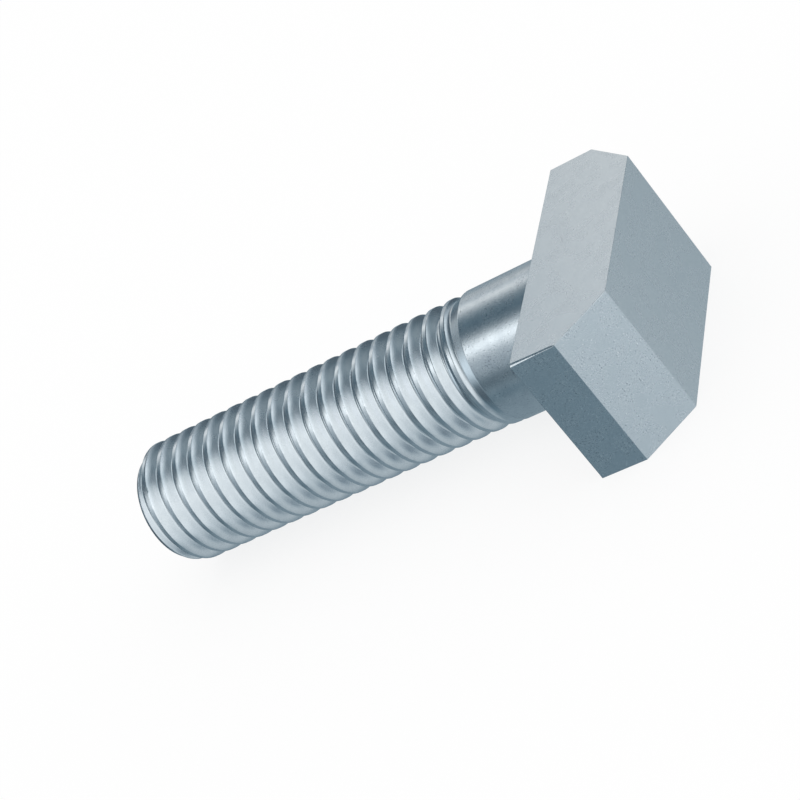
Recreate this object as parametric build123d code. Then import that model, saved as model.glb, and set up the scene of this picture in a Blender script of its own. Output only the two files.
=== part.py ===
from build123d import *
import math
import os

# A T-head bolt, M8 x 30, forged in one piece with a rolled right-hand thread.
# All lengths are in millimetres. X runs along the shank from the head to the tip,
# Y is the long way of the head, and Z is up: the bolt lies on one long side of its head.
# The origin is on the shank's axis, in the head's bearing face.

# Head: a rectangular block whose two far corners are cut off at 45 degrees, with its edges broken
head_length = 17.7
head_width = 8.65
head_height = 5.53
head_chamfer = 2.74
edge_break = 0.1

# Bolt, measured from the bearing face
bolt_length = 29.7
plain_length = 5.1

# Metric thread, and how far the plain shank and the rolled crests fall short of its nominal radius
thread_diameter = 8.0
pitch = 1.25
flank_angle = 30.0
shank_shortfall = 0.06
crest_shortfall = 0.1

# Ends of the thread: the cone that rises out of the roots to the plain shank, and the point
run_out_angle = 20.0
point_diameter = 6.74
point_length = 0.82

# The pitch line and the roots lie these shares of the sharp V's height below the nominal radius
sharp_height = pitch / 2 / math.tan(math.radians(flank_angle))
pitch_radius = thread_diameter / 2 - sharp_height * 3 / 8
root_radius = thread_diameter / 2 - sharp_height * 17 / 24
shank_radius = thread_diameter / 2 - shank_shortfall
crest_radius = thread_diameter / 2 - crest_shortfall
point_radius = point_diameter / 2
run_out_length = (shank_radius - root_radius) / math.tan(math.radians(run_out_angle))


def make_head():
    """The head seen from its side, a block with two cut corners, as thick as the head is wide."""
    half = head_length / 2
    outline = Polygon(
        (0, -half),
        (0, half),
        (head_chamfer - head_height, half),
        (-head_height, half - head_chamfer),
        (-head_height, head_chamfer - half),
        (head_chamfer - head_height, -half),
        align=None,
    )
    block = extrude(outline, amount=head_width / 2, both=True)
    return chamfer(block.edges(), edge_break)


def make_core():
    """The plain shank, the run-out cone and the core under the thread, turned about X.

    The core runs one pitch past the tip, where the point is cut later.
    """
    outline = Polygon(
        (0, 0),
        (0, shank_radius),
        (plain_length, shank_radius),
        (plain_length + run_out_length, root_radius),
        (bolt_length + pitch, root_radius),
        (bolt_length + pitch, 0),
        align=None,
    )
    return revolve(outline, axis=Axis.X)


def ridge_half_width(radius):
    """Half the ridge's width: a quarter pitch at the pitch line, less towards the crest."""
    return pitch / 4 - (radius - pitch_radius) * math.tan(math.radians(flank_angle))


def make_ridge_turns():
    """One turn of the thread's ridge, a trapezoid carried along a helix, repeated at each pitch.

    The turns join end to end on the +Y side, where the ridge's middle crosses the end plane.
    The first lies past the tip, and the last ends inside the plain shank.
    """
    foot = root_radius - pitch / 10
    section = Polygon(
        (foot, -ridge_half_width(foot)),
        (crest_radius, -ridge_half_width(crest_radius)),
        (crest_radius, ridge_half_width(crest_radius)),
        (foot, ridge_half_width(foot)),
        align=None,
    )
    path = Helix(pitch=pitch, height=pitch, radius=pitch_radius)
    turn = sweep(Plane.XZ * section, path, is_frenet=True)
    turn = Plane(origin=(bolt_length, 0, 0), x_dir=(0, 1, 0), z_dir=(1, 0, 0)) * turn
    count = math.ceil((bolt_length - plain_length) / pitch) + 2
    return [Pos(-number * pitch, 0, 0) * turn for number in range(count)]


def make_point_waste():
    """What is cut away round the conical point and beyond the end plane, turned about X."""
    slope = point_length / (crest_radius - point_radius)
    margin = pitch
    outline = Polygon(
        (bolt_length - point_length - margin * slope, crest_radius + margin),
        (bolt_length, point_radius),
        (bolt_length, 0),
        (bolt_length + 2 * pitch, 0),
        (bolt_length + 2 * pitch, crest_radius + margin),
        align=None,
    )
    return revolve(outline, axis=Axis.X)


bolt = make_core() + make_head() + make_ridge_turns() - make_point_waste()
bolt.label = "t_head_bolt"

os.makedirs("parts", exist_ok=True)
export_step(bolt, "parts/t_head_bolt.step")
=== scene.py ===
import math

import bmesh
import bpy
import numpy as np
from mathutils import Matrix


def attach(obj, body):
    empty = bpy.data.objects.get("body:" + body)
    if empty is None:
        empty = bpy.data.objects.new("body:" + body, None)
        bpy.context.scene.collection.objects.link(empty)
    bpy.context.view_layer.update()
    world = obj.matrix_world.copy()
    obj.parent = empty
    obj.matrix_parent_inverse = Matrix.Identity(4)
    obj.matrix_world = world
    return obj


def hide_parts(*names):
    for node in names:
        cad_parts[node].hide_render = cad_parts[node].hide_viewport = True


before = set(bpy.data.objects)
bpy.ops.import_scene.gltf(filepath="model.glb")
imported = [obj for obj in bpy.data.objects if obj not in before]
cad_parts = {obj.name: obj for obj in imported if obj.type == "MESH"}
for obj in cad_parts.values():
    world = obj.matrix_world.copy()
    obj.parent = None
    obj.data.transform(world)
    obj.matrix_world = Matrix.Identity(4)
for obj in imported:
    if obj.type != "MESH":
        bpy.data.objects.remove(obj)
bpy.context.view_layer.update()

# Sizes of the bolt in millimetres, as in the part's source. Meshes are made in millimetres and then scaled.
MM = 0.001
HEAD_LENGTH = 17.7
HEAD_WIDTH = 8.65
HEAD_HEIGHT = 5.53
HEAD_CHAMFER = 2.74
BOLT_LENGTH = 29.7
PLAIN_LENGTH = 5.1
SHANK_RADIUS = 3.94
CREST_RADIUS = 3.90
PITCH = 1.25
POINT_RADIUS = 3.37
POINT_LENGTH = 0.82

# Roundings that are too fine for the source's solid
EDGE_RADIUS = 0.02
EDGE_CUT = 0.01
NECK_RADIUS = 0.05
RIM_RADIUS = 0.06
POINT_BLEND = 0.02

# One end corner of the head is pressed: a bevel along it next to the side, and a cut that tapers off from
# the bearing face. Both are given by their widths, and the bevel's normal leans this far from the end's.
BEVEL_LEAN = math.radians(62.0)
PRESSED_BEVEL = 0.1
PRESSED_CUT = 0.09
PRESSED_LENGTH = 1.8

# The thread's form: half the flat crest, then three arcs with their radii, and the flank's slopes at its ends
CREST_HALF = 0.12
CREST_ARC = 0.012
FLANK_TOP = math.radians(48.0)
FLANK_FOOT = math.radians(71.0)
ROOT_ARC = 0.16
FLANK_START = CREST_HALF + CREST_ARC * math.sin(FLANK_TOP)
FLANK_END = PITCH / 2 - ROOT_ARC * math.sin(FLANK_FOOT)
FLANK_ARC = (FLANK_END - FLANK_START) / (math.sin(FLANK_FOOT) - math.sin(FLANK_TOP))

# The run-out: the cone's slope, the fillet where it meets the last turn, the way over which that grows,
# and the share of it that is there from the start
RUN_OUT_SLOPE = math.tan(math.radians(20.0))
RUN_OUT_BLEND = 0.3
RUN_OUT_GROWTH = 0.4
RUN_OUT_FIRST = 0.05

# Columns round the bolt, counted over a quarter of the head's outline: half its end, a corner, half its side
END_COLUMNS = 12
CORNER_COLUMNS = 7
SIDE_COLUMNS = 21
COLUMNS = 4 * (END_COLUMNS + CORNER_COLUMNS + SIDE_COLUMNS)

# Rows and columns close beside the head's edges keep the shading of each edge narrow. They lie at these
# shares of a face's length, of the head's half width and of its half length.
HOLD = 0.002
END_HOLD = 0.0015
SIDE_HOLD = 0.0007

# The spiral rows lie between these two rings, and plain rings lie beyond them
SPIRAL_START = 7.6
SPIRAL_END = 28.5

# Rows of the mesh over each form, from the tip to the head's far face
END_FACE_ROWS = 9
RIM_ROWS = 4
POINT_ROWS = 43
CREST_ARC_ROWS = 3
FLANK_ROWS = 4
ROOT_ROWS = 3
RUN_OUT_ROWS = 95
SHANK_ROWS = 10
NECK_ROWS = 3
BEARING_ROWS = 7
EDGE_ROWS = 4
HEAD_SIDE_ROWS = 12
CUT_EDGE_ROWS = 3
CUT_ROWS = 8
FAR_FACE_ROWS = 10

# How far beside a crest's edge its wear and painted glints reach, and where on the run-out they start
WEAR_AND_GLINT_REACH = 0.07
WEAR_AND_GLINT_START = PLAIN_LENGTH + 0.4

# Linear colours of the plating and of what lies in it and on it. Scuffs are the wear on the crests' edges,
# and the bright ones are partly painted glints of light.
ZINC = (0.66, 0.71, 0.74, 1.0)
DULLER_ZINC = (0.63, 0.68, 0.71, 1.0)
CLOUD_GREY = (0.42, 0.47, 0.52, 1.0)
DARK_SPECK = (0.16, 0.2, 0.24, 1.0)
PALE_SPECK = (0.95, 0.97, 0.98, 1.0)
# The bright scuff is near white, and is partly a painted glint of light on the crests' edges
BRIGHT_SCUFF_AND_GLINT = (0.97, 0.98, 0.98, 1.0)
DULL_SCUFF = (0.3, 0.34, 0.38, 1.0)

# Noise levels, out of 0 to 1, at which each of these begins to show and at which it shows fully
CLOUD_RAMP = (0.35, 0.65)
DARK_SPECK_RAMP = (0.36, 0.28)
PALE_SPECK_RAMP = (0.62, 0.74)
BRIGHT_SCUFF_AND_GLINT_RAMP = (0.55, 0.66)
DULL_SCUFF_RAMP = (0.44, 0.34)

# Scales of the noises, in cells to a metre, and how far the patches move the specks' levels and the roughness
PATCH_SCALE = 900.0
CLOUD_SCALE = 1100.0
SCUFF_AND_GLINT_SCALE = 3200.0
SPECK_SHIFT = 0.24
ROUGH_SHIFT = 0.1

# The middle of the bolt in metres, round which patterns and the studio tent are centred
BOLT_MIDDLE = (0.012, 0.0, 0.0)


def ease(count):
    """Shares from 0 to 1 that lie closer together near both ends: half of 1 minus the cosine."""
    return (1 - np.cos(np.linspace(0.0, math.pi, count + 1))) / 2


def hold(shares):
    """The same shares from 0 to 1, with one more close beside each end."""
    return np.concatenate([shares[:1], [HOLD], shares[1:-1], [1 - HOLD], shares[-1:]])


def from_ridge(x, angle):
    """Axial distance to the middle of the nearest ridge, which climbs one pitch a turn."""
    distance = x - BOLT_LENGTH - PITCH * angle / (2 * math.pi)
    return np.abs((distance + PITCH / 2) % PITCH - PITCH / 2)


def thread_radius(d):
    """Radius of the thread's surface at a distance d from the middle of its ridge.

    Flat crest, a small arc down to the flank's upper slope, a long arc that steepens the flank towards
    its foot, then the hollow arc of the root. Each arc starts with the slope that the one before ends with.
    """
    crest_reach = np.clip(d - CREST_HALF, 0.0, FLANK_START - CREST_HALF)
    crest = CREST_RADIUS - CREST_ARC + np.sqrt(CREST_ARC**2 - crest_reach**2)
    flank_reach = np.clip(d - FLANK_START, 0.0, FLANK_END - FLANK_START) + FLANK_ARC * math.sin(FLANK_TOP)
    flank = np.sqrt(FLANK_ARC**2 - flank_reach**2) - FLANK_ARC * math.cos(FLANK_TOP)
    root_reach = np.clip(PITCH / 2 - d, 0.0, PITCH / 2 - FLANK_END)
    root = ROOT_ARC * math.cos(FLANK_FOOT) - np.sqrt(ROOT_ARC**2 - root_reach**2)
    return crest + flank + root


def soft_max(a, b, blend):
    """The larger of two heights. Where they differ by less than blend, a fillet: blend less the
    difference, squared, over four times blend, is added.
    """
    return np.maximum(a, b) + np.maximum(blend - np.abs(a - b), 0.0) ** 2 / (4 * blend)


def outer_radius(x, angle):
    """Radius of the bolt's surface: the thread, cut by the point's cone and filled by the run-out's.

    The run-out's fillet starts sharp at the shank's edge and grows along the cone.
    """
    point = POINT_RADIUS + (BOLT_LENGTH - x) * (CREST_RADIUS - POINT_RADIUS) / POINT_LENGTH
    run_out = SHANK_RADIUS - (x - PLAIN_LENGTH) * RUN_OUT_SLOPE
    radius = thread_radius(from_ridge(x, angle))
    radius = -soft_max(-radius, -point, POINT_BLEND)
    growth = np.clip((x - PLAIN_LENGTH) / RUN_OUT_GROWTH, RUN_OUT_FIRST, 1.0)
    return soft_max(radius, run_out, RUN_OUT_BLEND * growth)


def outline_columns():
    """For each column, its place on a rectangle's outline as shares (a, b) of the half sizes, and its normal.

    One quarter runs from the middle of the end, up round the corner, to the middle of the side.
    The shares are sines of even steps. The corner turns in three arcs, with a flat cut after the first and
    a flat bevel after the second. The last two values are 1 past the cut and past the bevel, and 0 before.
    The next quarter is a mirror image, and the other half is the first turned by half a turn.
    """
    rise = np.sin(np.linspace(0.0, math.pi / 2, END_COLUMNS + 1))
    rise[-2] = 1 - END_HOLD
    run = np.sin(np.linspace(math.pi / 2, 0.0, SIDE_COLUMNS + 1))
    run[1] = 1 - SIDE_HOLD
    cut_lean = math.pi / 4
    side_lean = math.pi / 2
    last_lean = (BEVEL_LEAN + side_lean) / 2
    turn = np.array([0.0, cut_lean / 2, cut_lean, cut_lean, BEVEL_LEAN, BEVEL_LEAN, last_lean])
    first_past_cut, first_past_bevel = END_COLUMNS + 3, END_COLUMNS + 5
    a = np.concatenate([np.ones(END_COLUMNS + CORNER_COLUMNS), run])
    b = np.concatenate([rise[:-1], np.ones(CORNER_COLUMNS + SIDE_COLUMNS + 1)])
    lean = np.concatenate([np.zeros(END_COLUMNS), turn, np.full(SIDE_COLUMNS + 1, side_lean)])
    column = np.arange(len(a))

    def turned_half(values, mirror_sign):
        """All four quarters: the first, its mirror image with a sign, and both again with the other sign."""
        half = np.concatenate([values, mirror_sign * values[-2:0:-1]])
        return np.concatenate([half, -half])

    def mirrored(values):
        """All four quarters of a value that is the same in each."""
        return np.concatenate([values, values[-2:0:-1]] * 2)

    return (
        turned_half(a, -1),
        turned_half(b, 1),
        turned_half(np.cos(lean), -1),
        turned_half(np.sin(lean), 1),
        mirrored(np.where(column < first_past_cut, 0.0, 1.0)),
        mirrored(np.where(column < first_past_bevel, 0.0, 1.0)),
    )


def ring(x, radius, angle):
    """Points on circles about X: one row for each x, one column for each angle."""
    x = np.broadcast_to(x, radius.shape)
    return np.stack([x, radius * np.cos(angle), radius * np.sin(angle)], axis=-1)


def tip_rows(angle):
    """The flat end from its centre out, its rounded rim, and rings over the point to the spiral rows."""
    rim = np.linspace(0.0, math.pi / 2, RIM_ROWS + 1)[::-1, None]
    x_rim = BOLT_LENGTH - RIM_RADIUS * (1 - np.sin(rim))
    r_rim = outer_radius(x_rim, angle) - RIM_RADIUS * (1 - np.cos(rim))
    share = np.sin(np.linspace(0.0, math.pi / 2, END_FACE_ROWS + 1))[:-1, None]
    flat = ring(BOLT_LENGTH, share * r_rim[:1], angle)
    x = np.linspace(x_rim[-1, 0], SPIRAL_END, POINT_ROWS + 1)[1:, None]
    return np.concatenate([flat, ring(x_rim, r_rim, angle), ring(x, outer_radius(x, angle), angle)])


def spiral_rows(angle):
    """The full thread: rows that follow the ridge, so that each edge of the crest is one row.

    A row is a helix at a fixed distance from the ridge's middle, and after one turn it becomes the row
    that lies one turn of rows before it. What lies past either end ring is drawn in to that ring.
    """
    crest = CREST_HALF + CREST_ARC * np.sin(np.linspace(0.0, FLANK_TOP, CREST_ARC_ROWS + 1))
    flank = np.linspace(FLANK_START, FLANK_END, FLANK_ROWS + 1)[1:]
    root = PITCH / 2 - ROOT_ARC * np.sin(np.linspace(FLANK_FOOT, 0.0, ROOT_ROWS + 1)[1:])
    side = np.concatenate([crest, flank, root])
    offsets = np.concatenate([-side[:-1][::-1], [0.0], side])
    turns = math.ceil((BOLT_LENGTH - SPIRAL_START) / PITCH) + 2
    offset = (BOLT_LENGTH - np.arange(turns)[:, None] * PITCH + offsets[::-1]).ravel()[:, None]
    x = np.clip(offset + PITCH * angle / (2 * math.pi), SPIRAL_START, SPIRAL_END)
    return ring(x, outer_radius(x, angle), angle), len(offsets)


def run_out_rows(angle):
    """Plain rings from the spiral rows over the run-out's cone to the shank's edge."""
    x = np.linspace(SPIRAL_START, PLAIN_LENGTH, RUN_OUT_ROWS + 1)[:, None]
    return ring(x, outer_radius(x, angle), angle)


def shank_rows(angle):
    """The plain shank, from just inside its edge down to a small fillet at the head's bearing face."""
    first, last = PLAIN_LENGTH - 0.02, 0.15
    x = first - ease(SHANK_ROWS)[:, None] * (first - last)
    turn = np.linspace(0.0, math.pi / 2, NECK_ROWS + 1)[:, None]
    x_fillet = NECK_RADIUS * (1 - np.sin(turn))
    r_fillet = SHANK_RADIUS + NECK_RADIUS * (1 - np.cos(turn))
    columns = np.ones_like(angle)
    plain = ring(x, SHANK_RADIUS * columns * np.ones_like(x), angle)
    return np.concatenate([plain, ring(x_fillet, r_fillet * columns, angle)])


def head_rows(angle):
    """The head: an inner block, pushed out by the edge radius along normals that turn from face to face.

    The rows go from the bearing face over its edge, along the sides, over the cut corners' edge,
    down the cuts, over the far edge, and in to the middle of the far face. Each edge is an arc of normals.
    The corner between the side that faces up and the end at +Y has the pressed corner's bevel, which fades
    in from the cut corner, and its cut, which widens evenly towards the bearing face.
    """
    a, b, my, mz, past_cut, past_bevel = outline_columns()
    e = EDGE_RADIUS
    half_length = HEAD_LENGTH / 2
    half_width = HEAD_WIDTH / 2
    bevel_fade = 0.2
    cut_start = HEAD_CHAMFER - HEAD_HEIGHT + e * (math.sqrt(2) - 1)
    far = -HEAD_HEIGHT + e
    far_half = half_length - (cut_start - far)
    pressed = np.clip(a, 0.0, 1.0) * np.clip(b, 0.0, 1.0)

    def rows(x, half, normal):
        """The outline at x with this half length, less the edge radius, the cut and the bevel, and then
        moved by the edge radius along the normal.
        """
        bevel = PRESSED_BEVEL * pressed * np.clip((x - cut_start) / bevel_fade, 0.0, 1.0)
        cut = EDGE_CUT + PRESSED_CUT * pressed * np.clip(x / PRESSED_LENGTH + 1, 0.0, 1.0)
        from_end = cut / math.sqrt(2) * past_cut + bevel * math.sin(BEVEL_LEAN) * past_bevel
        from_side = cut / math.sqrt(2) * (1 - past_cut) + bevel * math.cos(BEVEL_LEAN) * (1 - past_bevel)
        y = (half - e - from_end) * a
        z = (half_width - e - from_side) * b
        return np.stack(np.broadcast_arrays(x, y, z), axis=-1) + e * normal

    def normals(nx, ny, nz):
        """Vectors with these three parts, one for each row and column."""
        return np.stack(np.broadcast_arrays(nx, ny, nz), axis=-1)

    inner = rows(-e, half_length, normals(1.0, 0 * my, 0 * mz))
    neck = ring(0.0, (SHANK_RADIUS + NECK_RADIUS) * np.ones_like(angle), angle)
    share = hold(ease(BEARING_ROWS))[2:-1, None, None]
    bearing = neck + share * (inner - neck)

    turn = np.linspace(0.0, math.pi / 2, EDGE_ROWS + 1)[:, None]
    near_edge = rows(-e, half_length, normals(np.cos(turn), np.sin(turn) * my, np.sin(turn) * mz))
    x = -e + hold(ease(HEAD_SIDE_ROWS))[1:, None] * (cut_start + e)
    sides = rows(x, half_length, normals(0 * x, my + 0 * x, mz + 0 * x))
    lean = np.linspace(0.0, math.pi / 4, CUT_EDGE_ROWS + 1)[1:, None]
    cut_edge_normal = normals(-np.sin(lean) * np.abs(my), np.cos(lean) * my, mz + 0 * lean)
    cut_edge = rows(cut_start, half_length, cut_edge_normal)
    cut_normal = normals(-np.abs(my) / math.sqrt(2), my / math.sqrt(2), mz)
    share = hold(ease(CUT_ROWS))[1:, None]
    x = cut_start + share * (far - cut_start)
    cuts = rows(x, half_length + share * (far_half - half_length), cut_normal)
    wide = np.arccos(np.clip(-cut_normal[:, 0], 0.0, 1.0))[:, None]
    share = np.linspace(0.0, 1.0, EDGE_ROWS + 1)[1:, None, None]
    start = np.sin((1 - share) * wide) / np.sin(wide)
    end = np.sin(share * wide) / np.sin(wide)
    far_edge = rows(far, far_half, start * cut_normal + end * np.array([-1.0, 0.0, 0.0]))
    share = np.sin(np.linspace(0.0, math.pi / 2, FAR_FACE_ROWS + 1))
    share = hold(share)[::-1][1:, None, None]
    far_face = far_edge[-1] * np.concatenate([np.ones_like(share), share, share], axis=-1)
    return np.concatenate([bearing, near_edge, sides, cut_edge, cuts, far_edge, far_face])


def grid_faces(first, rows, step):
    """Quads between the rows of a grid. The last column joins the first one, step rows further back."""
    k, j = np.meshgrid(np.arange(rows - 1), np.arange(COLUMNS), indexing="ij")
    next_row = k - step * (j == COLUMNS - 1)
    keep = next_row >= 0
    k, j, next_row = k[keep], j[keep], next_row[keep]
    after = (j + 1) % COLUMNS
    here = k * COLUMNS + j
    beside = next_row * COLUMNS + after
    return first + np.stack([here, here + COLUMNS, beside + COLUMNS, beside], axis=-1)


def crest_edges(points):
    """1 on the crest's two edges, falling evenly to 0 beside them, for the plating's wear and painted glints.
    """
    x, y, z = points.T
    near = 1 - np.abs(from_ridge(x, np.arctan2(z, y)) - CREST_HALF) / WEAR_AND_GLINT_REACH
    return np.where(x > WEAR_AND_GLINT_START, np.clip(near, 0.0, 1.0), 0.0)


def make_bolt():
    """The whole bolt as one closed skin, from the tip's centre to the middle of the head's far face.

    Its faces have material 0 on the thread, 1 on the head and 2 on the plain shank.
    """
    angle = 2 * math.pi * np.arange(COLUMNS) / COLUMNS
    spiral, rows_per_turn = spiral_rows(angle)
    shank = np.concatenate([run_out_rows(angle), shank_rows(angle)])
    sections = [(tip_rows(angle), 0), (spiral, rows_per_turn), (np.concatenate([shank, head_rows(angle)]), 0)]
    points = []
    faces = []
    first = 0
    for rows, step in sections:
        points.append(rows.reshape(-1, 3))
        faces.append(grid_faces(first, len(rows), step))
        first += rows.shape[0] * rows.shape[1]
    head_start = first - sections[-1][0].size // 3 + (len(shank) - 1) * COLUMNS
    points = np.concatenate(points)
    faces = np.concatenate(faces)
    mesh = bpy.data.meshes.new("bolt_skin")
    mesh.from_pydata(points * MM, [], faces.tolist())
    on_shank = points[faces, 0].mean(axis=1) < PLAIN_LENGTH
    finish = np.where(faces[:, 0] >= head_start, 1, np.where(on_shank, 2, 0))
    mesh.polygons.foreach_set("material_index", finish.astype(np.int32))
    mesh.attributes.new("crest_edge", "FLOAT", "POINT").data.foreach_set("value", crest_edges(points))
    work = bmesh.new()
    work.from_mesh(mesh)
    bmesh.ops.remove_doubles(work, verts=work.verts, dist=2e-5 * MM)
    bmesh.ops.recalc_face_normals(work, faces=work.faces)
    work.to_mesh(mesh)
    work.free()
    mesh.shade_smooth()
    bolt = bpy.data.objects.new("bolt_skin", mesh)
    bpy.context.collection.objects.link(bolt)
    return bolt


def node(tree, kind, **values):
    """A new shader node, with its properties and its input sockets set by name."""
    made = tree.nodes.new(kind)
    for name, value in values.items():
        if hasattr(made, name):
            setattr(made, name, value)
        else:
            made.inputs[name.replace("_", " ")].default_value = value
    return made


def maths(tree, operation, *inputs):
    """A Math node whose inputs are sockets or numbers, and its result."""
    made = tree.nodes.new("ShaderNodeMath")
    made.operation = operation
    for socket, value in zip(made.inputs, inputs):
        if isinstance(value, (int, float)):
            socket.default_value = value
        else:
            tree.links.new(value, socket)
    return made.outputs[0]


def ramp(tree, value, start, end):
    """A socket's value turned into 0 at start and 1 at end, evenly between them and kept within 0 and 1."""
    made = node(tree, "ShaderNodeMapRange", From_Min=start, From_Max=end)
    tree.links.new(value, made.inputs["Value"])
    return made.outputs[0]


def blend_colour(tree, factor, under, over):
    """A colour mix whose factor and colours are sockets or values, and its result."""
    made = tree.nodes.new("ShaderNodeMix")
    made.data_type = "RGBA"
    for socket, value in zip((made.inputs[0], made.inputs[6], made.inputs[7]), (factor, under, over)):
        if isinstance(value, bpy.types.NodeSocket):
            tree.links.new(value, socket)
        else:
            socket.default_value = value
    return made.outputs[2]


def new_group(name, inputs, outputs):
    """A shader node group with named inputs and outputs. Each input is a name, a kind and a first value."""
    tree = bpy.data.node_groups.new(name, "ShaderNodeTree")
    for label, kind, value in inputs:
        socket = tree.interface.new_socket(name=label, in_out="INPUT", socket_type=kind)
        if value is not None:
            socket.default_value = value
    for label, kind in outputs:
        tree.interface.new_socket(name=label, in_out="OUTPUT", socket_type=kind)
    return tree, tree.nodes.new("NodeGroupInput").outputs, tree.nodes.new("NodeGroupOutput").inputs


def plating_grain():
    """The plating's grain: fine dark and pale specks, thicker in some patches, on a faintly clouded colour.

    Specks are where a fine noise falls under or rises over a limit, and a coarser noise moves that limit.
    Their size is in millimetres. The clouds are a noise drawn out round the bolt, and they stand a little
    proud too.
    """
    tree, given, out = new_group(
        "plating_grain",
        [
            ("Place", "NodeSocketVector", None),
            ("Colour", "NodeSocketColor", ZINC),
            ("Speck Size", "NodeSocketFloat", 0.07),
            ("Dark Specks", "NodeSocketFloat", 0.3),
            ("Pale Specks", "NodeSocketFloat", 0.3),
            ("Clouding", "NodeSocketFloat", 0.05),
            ("Roughness", "NodeSocketFloat", 0.25),
            ("Fine Relief", "NodeSocketFloat", 0.15),
            ("Cloud Relief", "NodeSocketFloat", 0.0),
        ],
        [("Colour", "NodeSocketColor"), ("Roughness", "NodeSocketFloat"), ("Height", "NodeSocketFloat")],
    )
    fineness = maths(tree, "DIVIDE", 1 / MM, given["Speck Size"])
    fine = node(tree, "ShaderNodeTexNoise", Detail=1.5)
    tree.links.new(given["Place"], fine.inputs["Vector"])
    tree.links.new(fineness, fine.inputs["Scale"])
    patches = node(tree, "ShaderNodeTexNoise", Scale=PATCH_SCALE, Detail=2.0)
    tree.links.new(given["Place"], patches.inputs["Vector"])
    drawn_out = node(tree, "ShaderNodeMapping", Scale=(1.4, 1.0, 1.0))
    tree.links.new(given["Place"], drawn_out.inputs["Vector"])
    clouds = node(tree, "ShaderNodeTexNoise", Scale=CLOUD_SCALE, Detail=3.0, Roughness=0.6)
    tree.links.new(drawn_out.outputs["Vector"], clouds.inputs["Vector"])

    shift = maths(tree, "MULTIPLY_ADD", patches.outputs["Fac"], SPECK_SHIFT, -SPECK_SHIFT / 2)
    low = maths(tree, "SUBTRACT", fine.outputs["Fac"], shift)
    high = maths(tree, "ADD", fine.outputs["Fac"], shift)
    cloud = maths(tree, "MULTIPLY", ramp(tree, clouds.outputs["Fac"], *CLOUD_RAMP), given["Clouding"])
    dark = maths(tree, "MULTIPLY", ramp(tree, low, *DARK_SPECK_RAMP), given["Dark Specks"])
    pale = maths(tree, "MULTIPLY", ramp(tree, high, *PALE_SPECK_RAMP), given["Pale Specks"])
    colour = blend_colour(tree, cloud, given["Colour"], CLOUD_GREY)
    colour = blend_colour(tree, dark, colour, DARK_SPECK)
    colour = blend_colour(tree, pale, colour, PALE_SPECK)
    tree.links.new(colour, out["Colour"])
    rougher = maths(tree, "MULTIPLY_ADD", patches.outputs["Fac"], ROUGH_SHIFT, -ROUGH_SHIFT / 2)
    tree.links.new(maths(tree, "ADD", given["Roughness"], rougher), out["Roughness"])
    fine_height = maths(tree, "MULTIPLY", fine.outputs["Fac"], given["Fine Relief"])
    cloud_height = maths(tree, "MULTIPLY", clouds.outputs["Fac"], given["Cloud Relief"])
    tree.links.new(maths(tree, "ADD", fine_height, cloud_height), out["Height"])
    return tree


def plated_finish(name, grain, colour, values, wear_and_glint):
    """Zinc-plated steel with its own colour and values for the grain group, and crests with wear and painted
    glints: at their edges a fine noise blends in bright scuff marks, partly painted glints of light, where it
    is high and dull ones where it is low, by the given share.
    """
    material = bpy.data.materials.new(name)
    material.use_nodes = True
    tree = material.node_tree
    shader = tree.nodes["Principled BSDF"]
    shader.inputs["Metallic"].default_value = 1.0
    place = tree.nodes.new("ShaderNodeTexCoord")
    centred = node(tree, "ShaderNodeMapping", Location=(-BOLT_MIDDLE[0], 0.0, 0.0))
    tree.links.new(place.outputs["Object"], centred.inputs["Vector"])
    made = node(tree, "ShaderNodeGroup", node_tree=grain)
    tree.links.new(centred.outputs["Vector"], made.inputs["Place"])
    made.inputs["Colour"].default_value = colour
    for label, value in values.items():
        made.inputs[label].default_value = value
    finished = made.outputs["Colour"]
    if wear_and_glint > 0:
        edge = node(tree, "ShaderNodeAttribute", attribute_name="crest_edge")
        scuff_and_glint_noise = node(tree, "ShaderNodeTexNoise", Scale=SCUFF_AND_GLINT_SCALE, Detail=3.0, Roughness=0.6)
        tree.links.new(centred.outputs["Vector"], scuff_and_glint_noise.inputs["Vector"])
        edge_wear_and_glint = maths(tree, "MULTIPLY", edge.outputs["Fac"], wear_and_glint)
        # Bright scuff marks: wear on the crest edges, and partly a painted glint of light
        bright = maths(tree, "MULTIPLY", edge_wear_and_glint, ramp(tree, scuff_and_glint_noise.outputs["Fac"], *BRIGHT_SCUFF_AND_GLINT_RAMP))
        dull = maths(tree, "MULTIPLY", edge_wear_and_glint, ramp(tree, scuff_and_glint_noise.outputs["Fac"], *DULL_SCUFF_RAMP))
        finished = blend_colour(tree, bright, finished, BRIGHT_SCUFF_AND_GLINT)
        finished = blend_colour(tree, dull, finished, DULL_SCUFF)
    tree.links.new(finished, shader.inputs["Base Color"])
    tree.links.new(made.outputs["Roughness"], shader.inputs["Roughness"])
    bump = node(tree, "ShaderNodeBump", Strength=1.0, Distance=0.01 * MM)
    tree.links.new(made.outputs["Height"], bump.inputs["Height"])
    tree.links.new(bump.outputs["Normal"], shader.inputs["Normal"])
    return material


def seen_directly(tree):
    """1 for camera, glossy and transmission rays, so that metal shows the same background as the camera."""
    path = tree.nodes.new("ShaderNodeLightPath")
    seen = maths(tree, "MAXIMUM", path.outputs["Is Camera Ray"], path.outputs["Is Glossy Ray"])
    return maths(tree, "MAXIMUM", seen, path.outputs["Is Transmission Ray"])


def make_world():
    """A plain white surround."""
    world = bpy.data.worlds.new("studio")
    bpy.context.scene.world = world
    world.use_nodes = True
    background = world.node_tree.nodes["Background"]
    background.inputs["Color"].default_value = (1.0, 1.0, 1.0, 1.0)
    background.inputs["Strength"].default_value = 1.0


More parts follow.
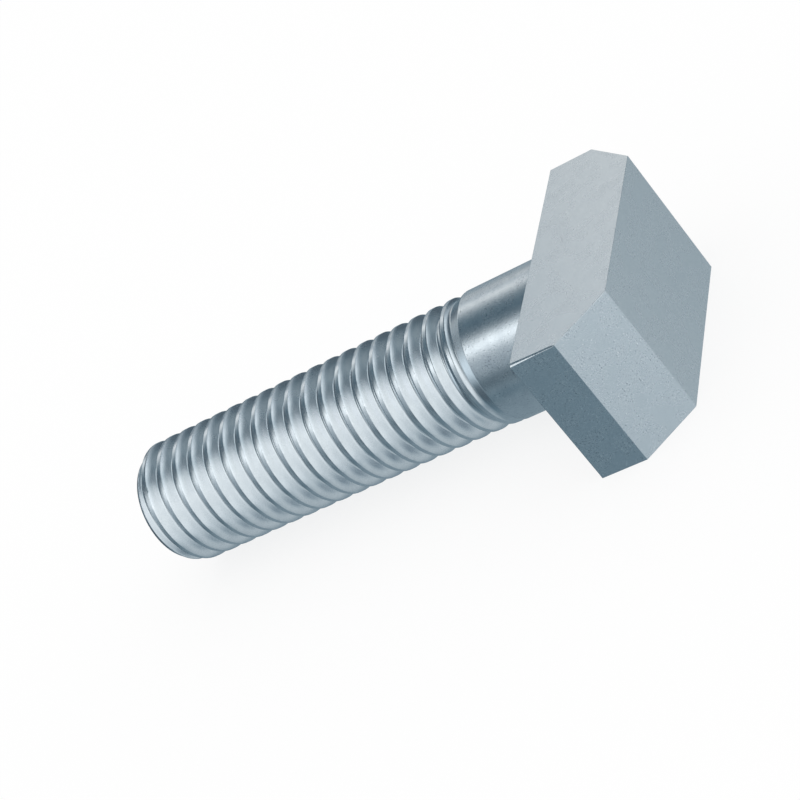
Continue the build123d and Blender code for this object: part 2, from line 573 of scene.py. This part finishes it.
def make_floor(height):
    """A wide white floor under the bolt. Seen directly it is mostly its own white, and the rest of it is lit,
    so that it keeps a shadow.
    """
    mesh = bpy.data.meshes.new("floor")
    reach, own_white = 3.0, 0.82
    corners = [(x * reach, y * reach, height) for x, y in ((-1, -1), (1, -1), (1, 1), (-1, 1))]
    mesh.from_pydata(corners, [], [(0, 1, 2, 3)])
    floor = bpy.data.objects.new("floor", mesh)
    bpy.context.collection.objects.link(floor)
    material = bpy.data.materials.new("floor")
    material.use_nodes = True
    tree = material.node_tree
    shader = tree.nodes["Principled BSDF"]
    shader.inputs["Base Color"].default_value = (0.98, 0.98, 0.98, 1.0)
    shader.inputs["Roughness"].default_value = 0.9
    shader.inputs["Specular IOR Level"].default_value = 0.0
    glow = node(tree, "ShaderNodeEmission", Strength=1.0)
    mix = tree.nodes.new("ShaderNodeMixShader")
    tree.links.new(maths(tree, "MULTIPLY", seen_directly(tree), own_white), mix.inputs["Fac"])
    tree.links.new(shader.outputs[0], mix.inputs[1])
    tree.links.new(glow.outputs[0], mix.inputs[2])
    tree.links.new(mix.outputs[0], tree.nodes["Material Output"].inputs["Surface"])
    mesh.materials.append(material)
    floor.visible_glossy = False


# The studio tent round the bolt: the level of its cloth, and what is added to it, in sRGB's linear colours.
# Each soft light has the way to its middle from the bolt, the way its length runs, half its length and width,
# and its level. Those below 0 are dark flags that take light away, and no part gets darker than the shade.
TENT_SHADE = (0.1, 0.135, 0.165)
TENT_CLOTH = (0.273, 0.350, 0.401)
TENT_LIGHTS = [
    ((0.451, 0.485, 0.749), (-0.524, 0.823, -0.218), 0.197, 0.231, (1.816, 1.791, 1.769)),
    ((0.355, -0.752, 0.556), (0.934, 0.269, -0.233), 0.401, 0.282, (1.288, 1.153, 1.045)),
    ((0.941, 0.181, 0.287), (-0.339, 0.502, 0.795), 0.154, 0.706, (1.039, 1.109, 1.164)),
    ((-0.685, -0.410, 0.602), (-0.447, 0.889, 0.098), 0.858, 0.143, (0.927, 0.947, 0.977)),
    ((0.850, 0.001, 0.527), (0.451, 0.516, -0.728), 0.286, 0.420, (-0.791, -0.862, -0.917)),
    ((-0.819, -0.298, 0.491), (0.557, -0.616, 0.556), 0.129, 0.734, (-0.892, -0.839, -0.815)),
    ((0.525, -0.742, 0.417), (0.476, 0.662, 0.579), 0.112, 0.646, (-0.942, -0.838, -0.743)),
    ((-0.783, -0.174, -0.597), (0.401, -0.875, -0.271), 0.211, 0.157, (-0.887, -0.815, -0.755)),
    ((-0.931, 0.204, 0.303), (0.360, 0.653, 0.667), 1.265, 0.729, (0.834, 0.786, 0.745)),
    ((-0.164, -0.236, 0.958), (0.144, 0.955, 0.260), 1.340, 0.439, (-0.762, -0.771, -0.773)),
    ((-0.950, -0.311, -0.024), (0.109, -0.402, 0.909), 0.268, 0.151, (0.641, 0.614, 0.646)),
    ((-0.056, 0.964, 0.260), (-0.909, 0.059, -0.412), 1.225, 0.247, (0.488, 0.484, 0.491)),
    ((0.811, 0.515, -0.277), (0.494, -0.857, -0.148), 1.429, 0.335, (-0.293, -0.320, -0.341)),
    ((-0.859, 0.284, -0.427), (-0.466, -0.780, 0.419), 1.269, 0.121, (-0.280, -0.259, -0.245)),
]


def soft_light():
    """One soft light of the studio tent, seen from the bolt and added to what is behind it.

    With u, v and w the direction's parts along, across and towards the light, what is added is its level,
    times e to the power of minus ((u / half length) squared + (v / half width) squared), and times
    4 w plus a half, kept between 0 and 1, which leaves out the far side of the tent.
    """
    tree, given, out = new_group(
        "soft_light",
        [
            ("Direction", "NodeSocketVector", None),
            ("Facing", "NodeSocketVector", None),
            ("Along", "NodeSocketVector", None),
            ("Half Length", "NodeSocketFloat", 0.4),
            ("Half Width", "NodeSocketFloat", 0.4),
            ("Level", "NodeSocketVector", None),
            ("Behind", "NodeSocketVector", None),
        ],
        [("Light", "NodeSocketVector")],
    )

    def product(operation, first, second, output):
        """A cross product's vector, or a dot product's value."""
        made = node(tree, "ShaderNodeVectorMath", operation=operation)
        tree.links.new(first, made.inputs[0])
        tree.links.new(second, made.inputs[1])
        return made.outputs[output]

    across = product("CROSS_PRODUCT", given["Facing"], given["Along"], "Vector")
    u = product("DOT_PRODUCT", given["Direction"], given["Along"], "Value")
    u = maths(tree, "DIVIDE", u, given["Half Length"])
    v = product("DOT_PRODUCT", given["Direction"], across, "Value")
    v = maths(tree, "DIVIDE", v, given["Half Width"])
    spread = maths(tree, "MULTIPLY_ADD", u, u, maths(tree, "MULTIPLY", v, v))
    cover = maths(tree, "EXPONENT", maths(tree, "MULTIPLY", spread, -1.0))
    facing = product("DOT_PRODUCT", given["Direction"], given["Facing"], "Value")
    side = maths(tree, "MULTIPLY_ADD", facing, 4.0, 0.5)
    side = maths(tree, "MINIMUM", maths(tree, "MAXIMUM", side, 0.0), 1.0)
    added = node(tree, "ShaderNodeVectorMath", operation="MULTIPLY_ADD")
    tree.links.new(maths(tree, "MULTIPLY", cover, side), added.inputs[0])
    tree.links.new(given["Level"], added.inputs[1])
    tree.links.new(given["Behind"], added.inputs[2])
    tree.links.new(added.outputs["Vector"], out["Light"])
    return tree


def make_tent():
    """The studio round the bolt as polished metal sees it: a sphere of pale cloth with soft light and dark
    panels. Only glossy rays meet it.
    """
    rings, sides, radius = 24, 48, 1.5
    tilt = np.linspace(0.0, math.pi, rings + 1)[:, None]
    turn = 2 * math.pi * np.arange(sides) / sides
    along = np.cos(tilt) * np.ones_like(turn)
    points = np.stack([along, np.sin(tilt) * np.cos(turn), np.sin(tilt) * np.sin(turn)], axis=-1)
    k, j = np.meshgrid(np.arange(rings), np.arange(sides), indexing="ij")
    here = k * sides + j
    beside = k * sides + (j + 1) % sides
    faces = np.stack([here, beside, beside + sides, here + sides], axis=-1)
    mesh = bpy.data.meshes.new("studio_tent")
    mesh.from_pydata((points * radius).reshape(-1, 3) + BOLT_MIDDLE, [], faces.reshape(-1, 4).tolist())
    tent = bpy.data.objects.new("studio_tent", mesh)
    bpy.context.collection.objects.link(tent)
    material = bpy.data.materials.new("tent_cloth")
    material.use_nodes = True
    tree = material.node_tree
    tree.nodes.remove(tree.nodes["Principled BSDF"])
    place = tree.nodes.new("ShaderNodeTexCoord")
    centred = node(tree, "ShaderNodeVectorMath", operation="SUBTRACT")
    tree.links.new(place.outputs["Object"], centred.inputs[0])
    centred.inputs[1].default_value = BOLT_MIDDLE
    direction = node(tree, "ShaderNodeVectorMath", operation="NORMALIZE")
    tree.links.new(centred.outputs["Vector"], direction.inputs[0])
    group = soft_light()
    behind = None
    for facing, along, half_length, half_width, level in TENT_LIGHTS:
        facing = np.array(facing) / np.linalg.norm(facing)
        along = np.array(along) - facing * np.dot(along, facing)
        light = node(tree, "ShaderNodeGroup", node_tree=group)
        tree.links.new(direction.outputs["Vector"], light.inputs["Direction"])
        light.inputs["Facing"].default_value = facing
        light.inputs["Along"].default_value = along / np.linalg.norm(along)
        light.inputs["Half Length"].default_value = half_length
        light.inputs["Half Width"].default_value = half_width
        light.inputs["Level"].default_value = level
        if behind is None:
            light.inputs["Behind"].default_value = TENT_CLOTH
        else:
            tree.links.new(behind, light.inputs["Behind"])
        behind = light.outputs["Light"]
    lit = node(tree, "ShaderNodeVectorMath", operation="MAXIMUM")
    tree.links.new(behind, lit.inputs[0])
    lit.inputs[1].default_value = TENT_SHADE
    glow = node(tree, "ShaderNodeEmission", Strength=1.0)
    tree.links.new(lit.outputs["Vector"], glow.inputs["Color"])
    tree.links.new(glow.outputs[0], tree.nodes["Material Output"].inputs["Surface"])
    material.cycles.emission_sampling = "NONE"
    mesh.materials.append(material)
    tent.visible_camera = False
    tent.visible_diffuse = False
    tent.visible_transmission = False
    tent.visible_volume_scatter = False
    tent.visible_shadow = False


def make_camera():
    """The photograph's camera: where it stands and how it is turned, from the fit to the bolt's edges."""
    data = bpy.data.cameras.new("camera")
    data.sensor_width = 36.0
    data.lens = 97.765
    data.clip_start = 0.005
    data.clip_end = 20.0
    camera = bpy.data.objects.new("camera", data)
    bpy.context.collection.objects.link(camera)
    right = (-0.7875217, -0.1714191, -0.59196712)
    up = (-0.36734423, -0.64068844, 0.67422291)
    back = (-0.49484118, 0.74842088, 0.44158624)
    position = (-0.04950230685, 0.09327123527, 0.05503373882)
    place = Matrix((right, up, back)).transposed().to_4x4()
    place.translation = position
    camera.matrix_world = place
    bpy.context.scene.camera = camera


bpy.context.scene.view_settings.view_transform = "Standard"
bolt = make_bolt()
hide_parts("t_head_bolt")
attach(bolt, "root")
# The photograph's soft light shows no image of one turn in the next, so the bolt doesn't mirror itself
bolt.visible_glossy = False
grain = plating_grain()
rolled = {
    "Speck Size": 0.085,
    "Dark Specks": 0.1,
    "Pale Specks": 0.15,
    "Clouding": 0.2,
    "Roughness": 0.26,
    "Fine Relief": 0.15,
    "Cloud Relief": 0.3,
}
forged = {
    "Speck Size": 0.06,
    "Dark Specks": 0.75,
    "Pale Specks": 0.9,
    "Clouding": 0.08,
    "Roughness": 0.27,
    "Fine Relief": 0.5,
    "Cloud Relief": 0.0,
}
plain = {
    "Speck Size": 0.085,
    "Dark Specks": 0.7,
    "Pale Specks": 0.3,
    "Clouding": 0.3,
    "Roughness": 0.26,
    "Fine Relief": 0.3,
    "Cloud Relief": 0.45,
}
bolt.data.materials.append(plated_finish("rolled_zinc_plate", grain, ZINC, rolled, wear_and_glint=0.25))
bolt.data.materials.append(plated_finish("forged_zinc_plate", grain, ZINC, forged, wear_and_glint=0.0))
bolt.data.materials.append(plated_finish("shank_zinc_plate", grain, DULLER_ZINC, plain, wear_and_glint=0.0))
make_world()
make_floor(-HEAD_WIDTH / 2 * MM)
make_tent()
make_camera()
